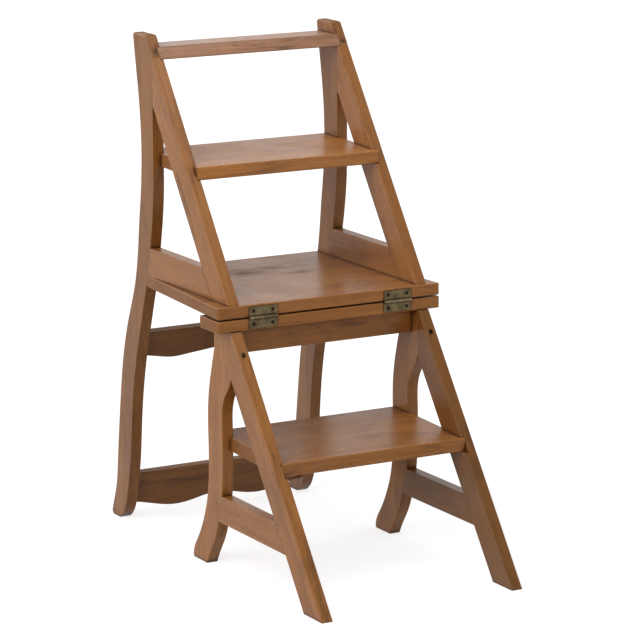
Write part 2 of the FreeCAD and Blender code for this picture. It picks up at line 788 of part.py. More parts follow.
def cut_step_housing(body, side, front, top, rear):
    """Open a sloping housing for a step end across the diagonal's inner face."""
    sketch = new_sketch(body, "housing", "YZ_Plane", inner_face(side))
    ahead = "(%s - 2 * Sizes.upper_diagonal_deep)" % front
    rise_ahead = "-2 * Sizes.upper_diagonal_deep * Sizes.step_rise"
    rise_rear = "(%s - (%s)) * Sizes.step_rise" % (rear, front)
    corners = (
        (ahead, "%s - Sizes.step_thick + (%s)" % (top, rise_ahead)),
        (rear, "%s - Sizes.step_thick + %s" % (top, rise_rear)),
        (rear, "%s + %s" % (top, rise_rear)),
        (ahead, "%s + (%s)" % (top, rise_ahead)),
    )
    draw_free(sketch, corners)
    pocket(body, sketch, "Sizes.housing_deep", side)


def make_upper_diagonal(hand, side):
    body = new_body(hand + "upper_diagonal")
    corners = (
        ("upper_foot", "seat_top"),
        ("post_front", "upper_joint_top"),
        ("post_front", "upper_joint_low"),
        ("upper_foot_rear", "seat_top"),
    )
    sketch = side_sketch(body, "outline", side)
    draw(sketch, corners)
    side_pad(body, sketch, side)
    ease_slopes(body)
    cut_step_housing(body, side, "Sizes.upper_step_front", "Places.upper_step_top",
                     "Sizes.post_front")
    cut_top_housing(body, side)
    bore_dowels(body)
    return body


def make_lower_diagonal(hand, side):
    body = new_body(hand + "lower_diagonal")
    corners = (
        ("-lower_reach", "floor"),
        ("-lower_top_ahead", "front_board_bottom"),
        ("middle", "front_board_bottom"),
        ("middle", "lower_joint_low"),
        ("-lower_foot_rear", "floor"),
    )
    sketch = side_sketch(body, "outline", side)
    draw(sketch, corners)
    side_pad(body, sketch, side)
    ease_slopes(body)
    cut_step_housing(body, side, "-Places.lower_step_ahead", "Sizes.lower_step_top", "0")
    across = side_middle(side)
    ahead = "Places.bolt_face - Places.lower_reach / 4"
    deep = "Sizes.bolt_sunk + Places.lower_reach / 4"
    cut_round(body, "counterbore", ALONG_Y, (across, ahead, "Places.bolt_high"),
              "Sizes.bolt_bore", deep)
    cut_round(body, "screw_hole", ALONG_Y, (across, "Places.bolt_face", "Places.bolt_high"),
              "Sizes.bolt_shank", "Sizes.lower_top_ahead - Places.bolt_face")
    bore_dowels(body)
    return body


def make_front_leg(hand, side):
    body = new_body(hand + "front_leg")
    corners = (
        ("middle", "front_board_bottom"),
        ("middle", "lower_joint_low"),
        ("leg_on_rail", "lower_rail_top"),
        ("leg_under_rail", "lower_rail_low"),
        ("leg_sole_front", "floor"),
        ("leg_sole_rear", "floor"),
        ("leg_heel_rear", "heel_up"),
        ("leg_block_rear", "leg_block_rear_z"),
        ("leg_block_deep", "front_board_bottom"),
    )
    front = [("leg_%s_front" % row[0], "leg_%s_front_z" % row[0]) for row in LEG_FRONT]
    foot = [("leg_%s_front" % row[0], "leg_%s_front_z" % row[0]) for row in LEG_FOOT]
    rear = [("leg_%s_rear" % row[0], "leg_%s_rear_z" % row[0]) for row in reversed(LEG_REAR[1:])]
    curves = {
        1: front,
        3: foot,
        6: rear,
    }
    sketch = side_sketch(body, "outline", side)
    draw(sketch, corners, curves)
    side_pad(body, sketch, side)
    # The front curves are too tight at their ends to be rounded at every size
    ease_curves(body, lambda edge: edge.BoundBox.Center.y > number("leg_block_deep"))
    cut_round(body, "screw_hole", ALONG_Y, (side_middle(side), "0", "Places.bolt_high"),
              "Sizes.bolt_shank", "Sizes.bolt_end")
    bore_dowels(body)
    return body


def make_upper_side_rail(hand, side):
    body = new_body(hand + "upper_side_rail")
    corners = (
        ("Places.upper_foot_rear", "Places.seat_top"),
        ("Places.post_on_seat_y - Sizes.joint_gap", "Places.seat_top"),
        ("Places.post_on_rail_y - Sizes.joint_gap", "Places.upper_rail_top"),
        ("Places.upper_rail_foot", "Places.upper_rail_top"),
    )
    sketch = side_sketch(body, "outline", side)
    draw_free(sketch, corners)
    side_pad(body, sketch, side)
    ease_along(body, "Sizes.side_ease", number("seat_top") + 1, number("total_height"))
    bore_dowels(body)
    return body


def make_lower_side_rail(hand, side):
    body = new_body(hand + "lower_side_rail")
    corners = (
        ("-Places.lower_rail_low_end", "Sizes.lower_rail_low"),
        ("Sizes.leg_under_rail - Sizes.joint_gap", "Sizes.lower_rail_low"),
        ("Sizes.leg_on_rail - Sizes.joint_gap", "Places.lower_rail_top"),
        ("-Places.lower_rail_top_end", "Places.lower_rail_top"),
    )
    sketch = side_sketch(body, "outline", side)
    draw_free(sketch, corners)
    side_pad(body, sketch, side)
    ease_along(body, "Sizes.side_ease", 0, number("total_height"))
    bore_dowels(body)
    return body


# Boards and steps

def cut_gains(body, low, high):
    """Cut the shallow gains for both hinge leaves in a board's front edge."""
    for side, name in ((1, "right_gain"), (-1, "left_gain")):
        middle = "%d * Places.hinge_out" % side
        start = "%s - Sizes.leaf_long / 2 - Sizes.gain_room" % middle
        spot = (start, "-Sizes.leaf_thick", low)
        size = ("Sizes.leaf_long + Sizes.gain_room + Sizes.gain_over",
                "Sizes.leaf_thick + Sizes.leaf_set_in", "%s - (%s)" % (high, low))
        cut_box(body, name, spot, size)


def bore_hinge_screws(body, up):
    for side, name in ((1, "right"), (-1, "left")):
        for way, end in ((1, "a"), (-1, "b")):
            across = "%d * Places.hinge_out + (%d) * Sizes.screw_out" % (side, way)
            cut_round(body, "pilot_%s_%s" % (name, end), ALONG_Y,
                      (across, "Sizes.leaf_set_in", up), "Sizes.screw_shank", "Sizes.screw_long")


def make_rear_seat_board():
    body = new_body("rear_seat_board")
    sketch = new_sketch(body, "plan", "XY_Plane", "Places.seat_bottom")
    corners = (
        ("-seat_half", "middle"),
        ("seat_half", "middle"),
        ("outer_face", "post_under_seat_y"),
        ("outer_face", "rear_board_rear"),
        ("-outer_face", "rear_board_rear"),
        ("-outer_face", "post_under_seat_y"),
    )
    draw(sketch, corners)
    pad(body, sketch, "Sizes.board_thick")
    ease(body, "Sizes.board_corner", upright_at_front)
    for side, name in ((1, "right_notch"), (-1, "left_notch")):
        notch = new_sketch(body, name, "YZ_Plane", inner_face(side))
        lean = "(Places.post_under_seat_y - Places.post_on_seat_y)"
        corners = (
            ("Places.post_under_seat_y - Sizes.joint_gap + " + lean,
             "Places.seat_bottom - Sizes.board_thick"),
            ("2 * Places.rear_board_rear", "Places.seat_bottom - Sizes.board_thick"),
            ("2 * Places.rear_board_rear", "Places.seat_top + Sizes.board_thick"),
            ("Places.post_on_seat_y - Sizes.joint_gap - " + lean,
             "Places.seat_top + Sizes.board_thick"),
        )
        draw_free(notch, corners)
        pocket(body, notch, "Sizes.seat_width", side)
    ease(body, "Sizes.board_ease", lambda edge, middle: board_rim(edge, middle, "post_on_seat_y"))
    cut_gains(body, "Places.seat_bottom",
              "Places.pin_height + Sizes.leaf_high + Sizes.gain_room")
    bore_hinge_screws(body, "Places.pin_height + Sizes.screw_up")
    bore_dowels(body)
    return body


def upright_at_front(edge, middle):
    """The two upright edges at the front corners of the rear board."""
    tall = edge.BoundBox.ZLength > number("board_thick") / 2
    return tall and is_nought(middle.y) and abs(middle.x) > number("outer_face")


def board_rim(edge, middle, rear):
    """Level edges along the front and the two outer ends of a board."""
    at_front = middle.y < number("board_corner")
    at_end = abs(middle.x) > number("outer_face") and middle.y < number(rear)
    return is_nought(edge.BoundBox.ZLength) and (at_front or at_end)


def make_front_seat_board():
    body = new_body("front_seat_board")
    sketch = new_sketch(body, "plan", "XY_Plane", "Places.front_board_bottom")
    corners = (
        ("-seat_half", "middle"),
        ("seat_half", "middle"),
        ("seat_half", "front_board_depth"),
        ("-seat_half", "front_board_depth"),
    )
    draw(sketch, corners)
    pad(body, sketch, "Sizes.board_thick")
    ease(body, "Sizes.board_corner",
         lambda edge, middle: edge.BoundBox.ZLength > number("board_thick") / 2)
    ease(body, "Sizes.board_ease",
         lambda edge, middle: is_nought(edge.BoundBox.ZLength))
    cut_gains(body, "Places.pin_height - Sizes.leaf_high - Sizes.gain_room",
              "Places.front_board_top")
    bore_hinge_screws(body, "Places.pin_height - Sizes.screw_up")
    bore_dowels(body)
    return body


def make_step(name, front, top, shoulder, rear):
    """A step with a wide front part and a rear part between the uprights."""
    body = new_body(name)
    for part, end, half in (("wide", shoulder, "Places.step_half"),
                            ("narrow", rear, "Places.inner_face")):
        sketch = new_sketch(body, part, "YZ_Plane", "0")
        rise = "(%s - (%s)) * Sizes.step_rise" % (end, front)
        corners = (
            (front, "%s - Sizes.step_thick" % top),
            (end, "%s - Sizes.step_thick + %s" % (top, rise)),
            (end, "%s + %s" % (top, rise)),
            (front, top),
        )
        draw_free(sketch, corners)
        pad(body, sketch, "2 * " + half, symmetric=True)
    ease(body, "Sizes.board_ease", lambda edge, middle: nosing(edge, front_number(front)))
    bore_dowels(body)
    return body


def front_number(front):
    """The size of a term such as -Places.lower_step_ahead."""
    sign = "-" if front.startswith("-") else ""
    return number(sign + front.split(".")[-1])


def nosing(edge, front):
    """The two long edges at the front of a step."""
    box = edge.BoundBox
    long = box.XLength > number("inner_face")
    return long and is_nought(box.YMin - front) and is_nought(box.YMax - front)


def make_top_step():
    body = new_body("top_step")
    sketch = new_sketch(body, "section", "YZ_Plane", "0")
    corners = (
        ("top_step_toe", "top_step_bottom"),
        ("top_step_end", "top_step_bottom"),
        ("top_step_end", "top_step_top"),
        ("top_step_nose", "top_step_top"),
    )
    draw(sketch, corners)
    pad(body, sketch, "2 * Places.step_half", symmetric=True)
    ease_across(body, "Sizes.rail_ease", 0, number("total_height"))
    bore_dowels(body)
    return body


def make_apron():
    body = new_body("front_apron")
    sketch = new_sketch(body, "front", "XZ_Plane", "-Sizes.apron_front")
    corners = (
        ("-Places.inner_face", "Places.front_board_bottom - Sizes.apron_high"),
        ("Places.inner_face", "Places.front_board_bottom - Sizes.apron_high"),
        ("Places.inner_face", "Places.front_board_bottom"),
        ("-Places.inner_face", "Places.front_board_bottom"),
    )
    draw_free(sketch, corners)
    pad(body, sketch, "Sizes.apron_thick", -1)
    ease_across(body, "Sizes.rail_ease", 0, number("front_board_bottom") - 1)
    bore_dowels(body)
    return body


def make_shaped_rail(name, rail, stations):
    """A leaning rail with a straight top and a wavy lower edge."""
    body = new_body(name)
    sketch = new_sketch(body, "face", "XZ_Plane")
    lean = number(rail + "_lean")
    sketch.AttachmentOffset = Placement(Vector(), Rotation(Vector(1, 0, 0), lean))
    sketch.setExpression(".AttachmentOffset.Base.z",
                         "-(Sizes.post_front + Sizes.%s_front)" % rail)
    sketch.setExpression(".AttachmentOffset.Base.y", "Sizes.%s_top" % rail)
    corners = (
        ("-inner_face", "middle"),
        ("-inner_face", "-%s_end_deep" % rail),
        ("inner_face", "-%s_end_deep" % rail),
        ("inner_face", "middle"),
    )
    wave = [("-%s_%s_x" % (rail, row[0]), "-%s_%s_deep" % (rail, row[0]))
            for row in reversed(stations[1:-1])]
    wave += [("%s_%s_x" % (rail, row[0]), "-%s_%s_deep" % (rail, row[0]))
             for row in stations[:-1]]
    draw(sketch, corners, {1: wave})
    pad(body, sketch, "Sizes.rail_thick", -1)
    ease_across(body, "Sizes.rail_ease", 0, number("total_height"))
    bore_dowels(body)
    return body


# Hinges

def make_leaf(name, side, upper):
    """One hinge leaf with its knuckles, bored for the pin and two screws."""
    body = new_body(name)
    way = 1 if upper else -1
    middle = "%d * Places.hinge_out" % side
    sketch = new_sketch(body, "plate", "XZ_Plane", "-Places.leaf_face")
    start = "%s - Sizes.leaf_long / 2" % middle
    end = "%s + Sizes.leaf_long / 2" % middle
    edge = "Places.pin_height + (%d) * Sizes.leaf_high" % way
    near = "Places.pin_height"
    corners = ((start, near), (end, near), (end, edge), (start, edge))
    draw_free(sketch, corners)
    pad(body, sketch, "Sizes.leaf_thick", -1)
    own = (1, 3) if upper else (0, 2, 4)
    other = (0, 2, 4) if upper else (1, 3)
    for index in other:
        spot = ("%s + %d * Places.knuckle_long - Sizes.knuckle_gap / 2" % (start, index),
                "-Sizes.leaf_thick - Sizes.knuckle_radius",
                near if upper else "Places.pin_height - Places.leaf_notch")
        size = ("Places.knuckle_long + Sizes.knuckle_gap",
                "2 * (Sizes.leaf_thick + Sizes.knuckle_radius)", "Places.leaf_notch")
        cut_box(body, "notch%d" % index, spot, size)
    for index in own:
        knuckle = body.newObject("PartDesign::AdditiveCylinder", "%s_knuckle%d" % (name, index))
        knuckle.Placement = Placement(Vector(), ALONG_X)
        knuckle.setExpression("Radius", "Sizes.knuckle_radius")
        knuckle.setExpression("Height", "Places.knuckle_long - Sizes.knuckle_gap")
        bind_place(knuckle, "%s + %d * Places.knuckle_long + Sizes.knuckle_gap / 2" % (start, index),
                   "Places.pin_back", "Places.pin_height")
        doc.recompute()
    play = " + Sizes.pin_play" if upper else ""
    cut_round(body, "pin_bore", ALONG_X, (start, "Places.pin_back", "Places.pin_height"),
              "Sizes.pin_radius" + play, "Sizes.leaf_long")
    for turn in (1, -1):
        across = "%s + (%d) * Sizes.screw_out" % (middle, turn)
        up = "Places.pin_height + (%d) * Sizes.screw_up" % way
        cut_cone(body, "sink_%s" % ("a" if turn > 0 else "b"), ALONG_Y,
                 (across, "Places.leaf_face", up),
                 "Sizes.screw_head", "Sizes.screw_shank", "Sizes.leaf_thick")
    return body


def make_hinge_pin(name, side):
    pin = doc.addObject("Part::Cylinder", name)
    pin.Label = name
    pin.Placement = Placement(Vector(), ALONG_X)
    pin.setExpression("Radius", "Sizes.pin_radius")
    pin.setExpression("Height", "Sizes.leaf_long + 2 * Sizes.pin_proud")
    bind_place(pin, "%d * Places.hinge_out - Sizes.leaf_long / 2 - Sizes.pin_proud" % side,
               "Places.pin_back", "Places.pin_height")
    return pin


def make_screw(name, across, face, up, head, head_end, head_long, shank, shank_long):
    """A slotted screw pointing back from its face: head, shank and slot."""
    cone = doc.addObject("Part::Cone", name + "_head")
    cone.Placement = Placement(Vector(), ALONG_Y)
    cone.setExpression("Radius1", head)
    cone.setExpression("Radius2", head_end)
    cone.setExpression("Height", head_long)
    bind_place(cone, across, face, up)
    stem = doc.addObject("Part::Cylinder", name + "_stem")
    stem.Placement = Placement(Vector(), ALONG_Y)
    stem.setExpression("Radius", shank)
    stem.setExpression("Height", shank_long)
    bind_place(stem, across, "%s + %s" % (face, head_long), up)
    whole = doc.addObject("Part::Fuse", name + "_whole")
    whole.Base = cone
    whole.Tool = stem
    slot = doc.addObject("Part::Box", name + "_slot")
    slot.setExpression("Length", "2 * " + head)
    slot.setExpression("Width", "Sizes.slot_deep")
    slot.setExpression("Height", "Sizes.slot_wide")
    bind_place(slot, "%s - %s" % (across, head), face, "%s - Sizes.slot_wide / 2" % up)
    screw = doc.addObject("Part::Cut", name)
    screw.Base = whole
    screw.Tool = slot
    return screw


def make_hinge_screws(node, way):
    screws = []
    up = "Places.pin_height + (%d) * Sizes.screw_up" % way
    for side in (1, -1):
        for turn in (1, -1):
            across = "%d * Places.hinge_out + (%d) * Sizes.screw_out" % (side, turn)
            name = "%s_%d" % (node, len(screws))
            screws.append(make_screw(name, across, "Places.leaf_face", up, "Sizes.screw_head",
                                     "Sizes.screw_shank", "Sizes.leaf_thick",
                                     "Sizes.screw_shank", "Sizes.screw_long"))
    return bundle(node, screws)


def make_frame_screws():
    screws = []
    for side in (1, -1):
        across = "%d * Places.side_middle" % side
        face = "(Places.bolt_seat - Sizes.bolt_head_high)"
        name = "frame_screw_%d" % len(screws)
        screws.append(make_screw(name, across, face, "Places.bolt_high", "Sizes.bolt_head",
                                 "Sizes.bolt_head", "Sizes.bolt_head_high",
                                 "Sizes.bolt_shank", "Sizes.bolt_end - Places.bolt_seat"))
    return bundle("frame_screws", screws)


# Assembly

def shift_to_footprint(node):
    """Move a node from the hinge line's frame to the middle of the footprint."""
    if node.Name.endswith("hinge_pin"):
        node.setExpression(".Placement.Base.y", "Places.pin_back + Places.footprint_shift")
    else:
        node.setExpression(".Placement.Base.y", "Places.footprint_shift")


def build_all():
    nodes = []
    for hand, side in (("left_", -1), ("right_", 1)):
        nodes.append(make_back_post(hand, side))
        nodes.append(make_upper_diagonal(hand, side))
        nodes.append(make_upper_side_rail(hand, side))
        nodes.append(make_front_leg(hand, side))
        nodes.append(make_lower_diagonal(hand, side))
        nodes.append(make_lower_side_rail(hand, side))
        nodes.append(make_leaf(hand + "upper_hinge_leaf", side, True))
        nodes.append(make_leaf(hand + "lower_hinge_leaf", side, False))
        nodes.append(make_hinge_pin(hand + "hinge_pin", side))
    nodes.append(make_rear_seat_board())
    nodes.append(make_front_seat_board())
    nodes.append(make_step("upper_step", "Sizes.upper_step_front", "Places.upper_step_top",
                           "Sizes.post_front", "Places.upper_step_rear"))
    nodes.append(make_step("lower_step", "-Places.lower_step_ahead", "Sizes.lower_step_top",
                           "Sizes.leg_shoulder", "Sizes.lower_step_past"))
    nodes.append(make_top_step())
    nodes.append(make_apron())
    nodes.append(make_shaped_rail("back_mid_rail", "mid_rail", MID_RAIL))
    nodes.append(make_shaped_rail("crest_rail", "crest", CREST))
    nodes.append(make_hinge_screws("upper_hinge_screws", 1))
    nodes.append(make_hinge_screws("lower_hinge_screws", -1))
    nodes.append(make_frame_screws())
    nodes.extend(make_dowels())
    for node in nodes:
        shift_to_footprint(node)
    doc.recompute()
    return nodes


def check_all(nodes):
    for item in doc.Objects:
        if "Invalid" in item.State or "Error" in item.State:
            raise RuntimeError("%s failed: %s" % (item.Name, item.State))
    for node in nodes:
        if node.Shape.isNull() or not node.Shape.isValid():
            raise RuntimeError(node.Label + " has no valid shape")


def write_all(nodes):
    os.makedirs("parts", exist_ok=True)
    for node in nodes:
        node.Shape.exportStep("parts/" + node.Label + ".step")


all_nodes = build_all()
check_all(all_nodes)
write_all(all_nodes)
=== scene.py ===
"""The folding library step chair, dressed in varnished hardwood and old brass."""
import math

import bpy
from mathutils import Matrix, Vector

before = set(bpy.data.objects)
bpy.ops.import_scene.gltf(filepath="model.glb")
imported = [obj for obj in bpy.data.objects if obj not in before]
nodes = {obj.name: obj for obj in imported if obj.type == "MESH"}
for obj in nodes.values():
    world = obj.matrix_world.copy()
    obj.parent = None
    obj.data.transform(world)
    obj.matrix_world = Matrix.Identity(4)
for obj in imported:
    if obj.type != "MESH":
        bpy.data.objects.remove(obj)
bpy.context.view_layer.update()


# Shader nodes

# Sockets of a Mix node that mixes colours
MIX_FACTOR = 0
MIX_FIRST = 6
MIX_SECOND = 7
MIX_RESULT = 2
# Most of a noise lies between these
MID_NOISE = (0.3, 0.7)
# Agreement of the rounded normal with the face's own, away from an edge and at it
EDGE_RANGE = (0.998, 0.9)
EDGE_SAMPLES = 6
# Share of free surroundings, from open to closed in
CREVICE_RANGE = (0.93, 0.42)
CREVICE_SAMPLES = 8
WHITE = (1.0, 1.0, 1.0)


def feed(tree, socket, value):
    """Link a socket to another one, or set its number or colour."""
    if isinstance(value, bpy.types.NodeSocket):
        tree.links.new(value, socket)
    elif isinstance(value, tuple) and len(value) == 3 and socket.type == "RGBA":
        socket.default_value = (*value, 1.0)
    else:
        socket.default_value = value


def new_node(tree, kind, inputs=None, **settings):
    """Add a shader node with its settings and inputs, and return it."""
    made = tree.nodes.new("ShaderNode" + kind)
    for name, value in settings.items():
        setattr(made, name, value)
    for name, value in (inputs or {}).items():
        feed(tree, made.inputs[name], value)
    return made


def math_of(tree, operation, first, second=0.0):
    made = new_node(tree, "Math", {0: first, 1: second}, operation=operation)
    return made.outputs[0]


def times(tree, first, second):
    return math_of(tree, "MULTIPLY", first, second)


def plus(tree, first, second):
    return math_of(tree, "ADD", first, second)


def mix_of(tree, factor, first, second, blend="MIX"):
    """Mix two colours by a factor."""
    made = new_node(tree, "Mix", data_type="RGBA", blend_type=blend)
    feed(tree, made.inputs[MIX_FACTOR], factor)
    feed(tree, made.inputs[MIX_FIRST], first)
    feed(tree, made.inputs[MIX_SECOND], second)
    return made.outputs[MIX_RESULT]


def grey_of(tree, value):
    """The grey whose three parts are one value."""
    return new_node(tree, "CombineColor", {0: value, 1: value, 2: value}).outputs[0]


def stretch_of(tree, vector, scale):
    """Scale a position along its three axes."""
    made = new_node(tree, "VectorMath", {0: vector, 1: scale}, operation="MULTIPLY")
    return made.outputs[0]


def noise_of(tree, vector, scale, detail, roughness=0.5, distortion=0.0):
    made = new_node(tree, "TexNoise", {
        "Vector": vector,
        "Scale": scale,
        "Detail": detail,
        "Roughness": roughness,
        "Distortion": distortion,
    })
    return made.outputs["Fac"]


def range_of(tree, value, low, high, to_low=0.0, to_high=1.0, smooth=True):
    """Map a value from one range to another, held at its ends."""
    made = new_node(tree, "MapRange", {0: value, 1: low, 2: high, 3: to_low, 4: to_high})
    made.interpolation_type = "SMOOTHSTEP" if smooth else "LINEAR"
    return made.outputs[0]


def edge_of(tree, radius):
    """How near a point is to an edge of its own piece, from 0 to 1, and the rounded normal."""
    rounded = new_node(tree, "Bevel", {"Radius": radius}, samples=EDGE_SAMPLES)
    plain = new_node(tree, "NewGeometry")
    facing = new_node(tree, "VectorMath", {
        0: rounded.outputs[0],
        1: plain.outputs["Normal"],
    }, operation="DOT_PRODUCT")
    return range_of(tree, facing.outputs["Value"], *EDGE_RANGE), rounded.outputs[0]


def crevice_of(tree, distance):
    """How closed in a point is by the pieces around it, from 0 to 1."""
    made = new_node(tree, "AmbientOcclusion", {"Distance": distance}, samples=CREVICE_SAMPLES)
    return range_of(tree, made.outputs["AO"], *CREVICE_RANGE)


def bump_of(tree, height, normal, strength, distance):
    made = new_node(tree, "Bump", {
        "Height": height,
        "Normal": normal,
        "Strength": strength,
        "Distance": distance,
    })
    return made.outputs[0]


def new_material(name):
    material = bpy.data.materials.new(name)
    material.use_nodes = True
    tree = material.node_tree
    return material, tree, tree.nodes["Principled BSDF"]


def dress(piece, material):
    """Give every slot of a piece one material."""
    if not piece.material_slots:
        piece.data.materials.append(material)
    for slot in piece.material_slots:
        slot.material = material


# Wood

WOOD_PALE = (0.345, 0.138, 0.034)
WOOD_DEEP = (0.215, 0.074, 0.014)
WOOD_AMBER = (0.395, 0.150, 0.026)
WOOD_DARK = (0.040, 0.014, 0.005)
# Lighter colour of the edges: worn varnish together with a painted highlight
WOOD_WORN_AND_HIGHLIT = (0.430, 0.200, 0.070)
WOOD_UMBER = (0.150, 0.056, 0.014)
WOOD_KNOT = (0.050, 0.021, 0.009)
# What one step of warmth takes from green and from blue
GREEN_LOSS = 0.06
BLUE_LOSS = 0.45

# Distance from a knot's middle in reaches, from its edge to its dark body
KNOT_BODY = (1.25, 0.35)
KNOT_RINGS = 9.0
KNOT_RING_RANGE = (-0.6, 0.8)
# Strength between a knot's rings, as a share of its strength
KNOT_GAPS = 0.45
KNOT_WOBBLE = 0.45

RING_STRETCH = (0.22, 1.0, 1.0)
RING_WAVER = {"Scale": 7.0, "Detail": 2.0}
RING_SHAKE = (0.012, 0.030, 0.030)
RING_WAVE = {"Scale": 30.0, "Distortion": 3.2, "Detail": 2.0, "Detail Scale": 1.6}
LATE_WOOD = (0.35, 1.0)

# Noise: stretch along and across the grain, scale, detail, roughness, distortion
GRAIN_NOISES = {
    "veins": (1.1, 16.0, 1.3, 5.0, 0.62, 1.1),
    "pores": (60.0, 1100.0, 1.0, 1.0, 0.5, 0.0),
    "streaks": (1.6, 34.0, 1.0, 4.0, 0.6, 0.4),
    "flames": (3.4, 62.0, 1.0, 4.0, 0.65, 1.6),
    "fibre": (14.0, 420.0, 1.0, 3.0, 0.6, 0.0),
    "clouds": (1.0, 1.0, 6.5, 3.0, 0.55, 0.6),
    "patches": (3.0, 9.0, 1.0, 2.0, 0.5, 0.8),
    "stain": (7.0, 19.0, 1.0, 3.0, 0.6, 0.9),
}
# Noise that a vein follows, and how far from it a vein ends and is full
VEIN_MIDDLE = 0.5
VEIN_WIDTH = (0.020, 0.002)
PORE_RANGE = (0.60, 0.72)

# Start, full, from share, to share
STREAK_SHARE = (0.34, 0.70, 0.0, 0.60)
VEIN_SHARE = (0.46, 0.60, 0.0, 0.45)
LATE_SHARE = 0.30
PORE_SHARE = 0.42
FIBRE_SHADE = (0.91, 1.08)
# Pattern, start, full, share, colour, its tone, its added warmth
GRAIN_LAYERS = (
    ("clouds", 0.40, 0.70, 0.45, WOOD_PALE, 0.84, 0.35),
    ("patches", 0.50, 0.72, 0.60, WOOD_AMBER, 1.0, 0.0),
    ("stain", 0.52, 0.72, 0.45, WOOD_UMBER, 1.0, 0.0),
    ("flames", 0.56, 0.68, 0.38, WOOD_UMBER, 1.0, 0.0),
)

# Places along the grain are this far apart from one seed to the next
SEED_STEP = 0.37
END_GRAIN = (0.75, 0.98)
END_GRAIN_SHARE = 0.60
WOOD_EDGE = 0.0022
# Edge lightening over the clouds, partly wear and partly painted highlight: start, full, from
# share, to share
WOOD_WEAR_AND_HIGHLIGHT = (0.38, 0.62, 0.15, 0.7)
# Reach of the painted shade in joints, gaps and under boards, and its strength
WOOD_CREVICE = 0.0095
WOOD_PAINTED_SHADE = 0.80
VARNISH_ROUGH = (0.26, 0.36)
VARNISH_GLOSS = 0.25
KNOT_ROUGH = 0.35
PORE_ROUGH = 0.12
WEAR_ROUGH = 0.10
END_GRAIN_ROUGH = 0.20
FIBRE_RELIEF = 0.5
LATE_RELIEF = 0.3
WOOD_BUMP = (0.35, 0.00025)


def tinted(colour, tone, warm):
    """A colour made lighter by a tone and redder or greyer by a warmth."""
    red, green, blue = colour
    return (
        red * tone,
        green * tone * (1.0 - GREEN_LOSS * warm),
        blue * tone * (1.0 - BLUE_LOSS * warm),
    )


def knot_of(tree, position, knot, wobble):
    """A ragged dark knot with rings round it: its middle, three reaches and strength."""
    middle, reach, strength = knot
    apart = new_node(tree, "VectorMath", {0: position, 1: middle}, operation="SUBTRACT")
    apart = new_node(tree, "VectorMath", {0: apart.outputs[0], 1: reach}, operation="DIVIDE")
    far = new_node(tree, "VectorMath", {0: apart.outputs[0]}, operation="LENGTH")
    ragged = plus(tree, far.outputs["Value"], wobble)
    rings = math_of(tree, "SINE", times(tree, ragged, KNOT_RINGS))
    body = range_of(tree, ragged, *KNOT_BODY)
    ringed = range_of(tree, rings, *KNOT_RING_RANGE, KNOT_GAPS * strength, strength)
    return times(tree, body, ringed)


def late_wood_of(tree, along):
    """The dark late part of each year's ring, where the grain runs along X."""
    slow = stretch_of(tree, along, RING_STRETCH)
    waver = new_node(tree, "TexNoise", {"Vector": slow, **RING_WAVER})
    shaken = new_node(tree, "VectorMath", {
        0: waver.outputs["Color"],
        1: RING_SHAKE,
        2: slow,
    }, operation="MULTIPLY_ADD")
    rings = new_node(tree, "TexWave", {"Vector": shaken.outputs[0], **RING_WAVE},
                     wave_type="RINGS", rings_direction="X", wave_profile="SAW")
    return range_of(tree, rings.outputs["Fac"], *LATE_WOOD)


def grain_of(tree, along):
    """The patterns of a wood whose grain runs along X."""
    grain = {"late": late_wood_of(tree, along)}
    for name, (long, across, *rest) in GRAIN_NOISES.items():
        grain[name] = noise_of(tree, stretch_of(tree, along, (long, across, across)), *rest)
    vein_far = math_of(tree, "ABSOLUTE", math_of(tree, "SUBTRACT", grain["veins"], VEIN_MIDDLE))
    grain["veins"] = range_of(tree, vein_far, *VEIN_WIDTH)
    grain["pores"] = range_of(tree, grain["pores"], *PORE_RANGE)
    return grain


def grain_colour(tree, grain, tone, warm):
    """The colour of the clean wood, from its patterns."""
    pale = tinted(WOOD_PALE, tone, warm)
    deep = tinted(WOOD_DEEP, tone, warm)
    colour = mix_of(tree, range_of(tree, grain["streaks"], *STREAK_SHARE), pale, deep)
    colour = mix_of(tree, times(tree, grain["late"], LATE_SHARE), colour, deep)
    for pattern, start, full, share, layer, layer_tone, layer_warm in GRAIN_LAYERS:
        there = range_of(tree, grain[pattern], start, full, 0.0, share)
        colour = mix_of(tree, there, colour, tinted(layer, layer_tone * tone, warm + layer_warm))
    vein = times(tree, grain["veins"], range_of(tree, grain["clouds"], *VEIN_SHARE))
    colour = mix_of(tree, vein, colour, WOOD_DARK)
    fibre = range_of(tree, grain["fibre"], *MID_NOISE, *FIBRE_SHADE)
    colour = mix_of(tree, 1.0, colour, grey_of(tree, fibre), "MULTIPLY")
    return mix_of(tree, times(tree, grain["pores"], PORE_SHARE), colour, WOOD_DARK)


def end_grain_of(tree, normal, turn):
    """Where a face cuts the grain across, from 0 to 1."""
    turned = new_node(tree, "Mapping", {"Vector": normal, "Rotation": turn},
                      vector_type="VECTOR")
    parts = new_node(tree, "SeparateXYZ", {0: turned.outputs[0]})
    return range_of(tree, math_of(tree, "ABSOLUTE", parts.outputs["X"]), *END_GRAIN)


